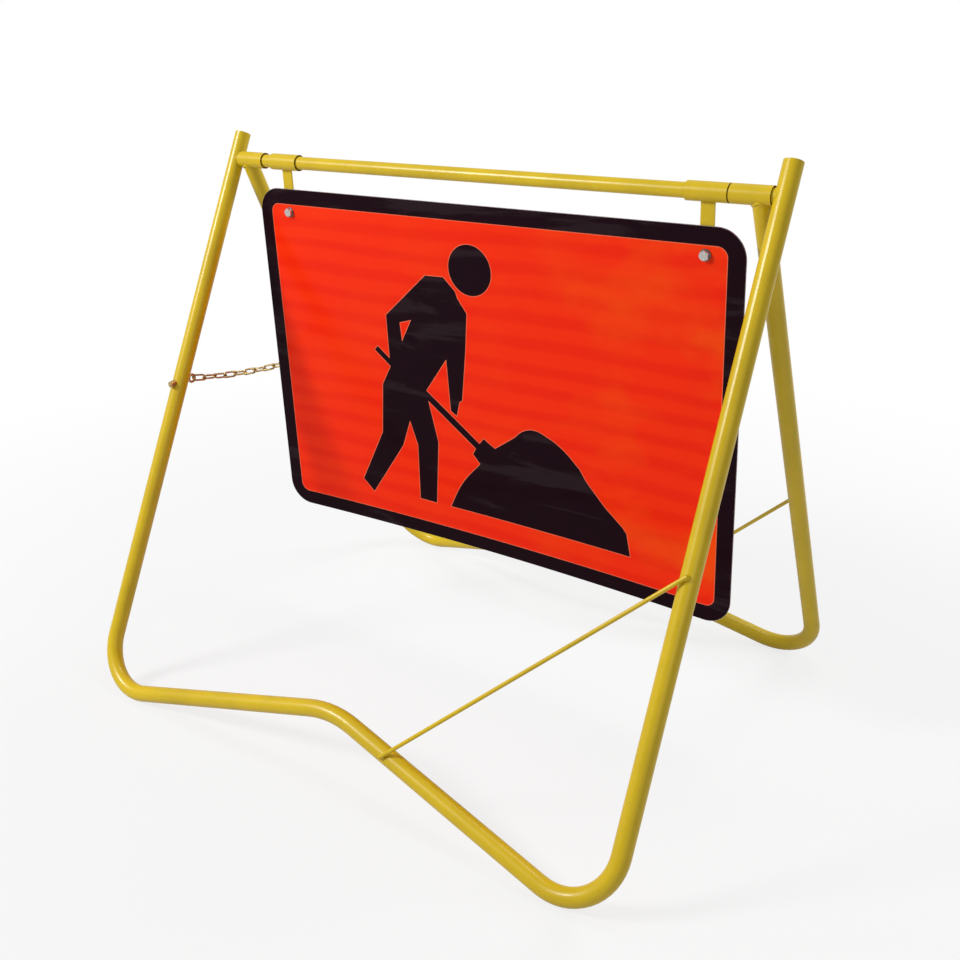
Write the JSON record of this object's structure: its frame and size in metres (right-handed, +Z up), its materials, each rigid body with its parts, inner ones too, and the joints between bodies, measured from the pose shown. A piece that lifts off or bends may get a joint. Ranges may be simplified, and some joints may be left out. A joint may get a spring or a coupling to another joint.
{
  "type": "roadworks sign frame",
  "caption": "Folding bent-tube stand with a swinging rectangular road sign hung on sleeves from its crossbar and a restraint chain between its legs.",
  "frame": {"origin": "on the ground, at the centre of the opened stand's footprint", "axes": "+X to the right along the crossbar as seen from the front, +Y to the rear, +Z up"},
  "size_m": [1.0254, 0.8256, 0.9099],
  "materials": {
    "frame_paint": "glossy golden yellow powder coat",
    "sign_sheet": "thin sheet with a red-orange reflective film on its face",
    "bare_fixings": "bright zinc plate",
    "chain_zinc": "yellow passivated zinc, dulled"
  },
  "bodies": {
    "front": {"front_frame": "frame_paint", "crossbar": "frame_paint", "front_stop_rod": "frame_paint", "chain_eye_bolt": "bare_fixings", "chain_saddle_washer": "bare_fixings", "chain_eye_nut": "bare_fixings"},
    "rear": {"rear_frame": "frame_paint", "rear_sleeves": "frame_paint", "rear_stop_rod": "frame_paint"},
    "hangers": {"hanger_sleeves": "frame_paint"},
    "sign": {"hanger_strap_left": "frame_paint", "hanger_strap_right": "frame_paint", "sign_plate": "sign_sheet", "sign_bolts": "bare_fixings", "sign_front_washers": "bare_fixings", "sign_lock_nuts": "bare_fixings"},
    "chain": {"chain_links": "chain_zinc", "chain_hook": "chain_zinc"}
  },
  "joints": [
    {"name": "rear_fold", "type": "hinge", "parent": "front", "child": "rear", "pos_m": [0, 0, 0.86209], "axis": [-1, 0, 0], "range_deg": [0, 48.5]},
    {"name": "hanger_turn", "type": "hinge", "parent": "front", "child": "hangers", "pos_m": [0, 0, 0.86209], "axis": [-1, 0, 0], "range_deg": [0, 27.74]},
    {"name": "sign_swing", "type": "hinge", "parent": "hangers", "child": "sign", "pos_m": [0, 0, 0.86209], "axis": [-1, 0, 0], "range_deg": [-1.75, 1.75]},
    {"name": "chain_swing", "type": "hinge", "parent": "front", "child": "chain", "pos_m": [-0.4993, -0.14602, 0.49654], "axis": [-1, 0, 0], "range_deg": [0, 82.45]}
  ],
  "couplings": [
    {"joint": "hanger_turn", "follows": "rear_fold", "ratio": 0.572},
    {"joint": "chain_swing", "follows": "rear_fold", "ratio": 1.7}
  ]
}
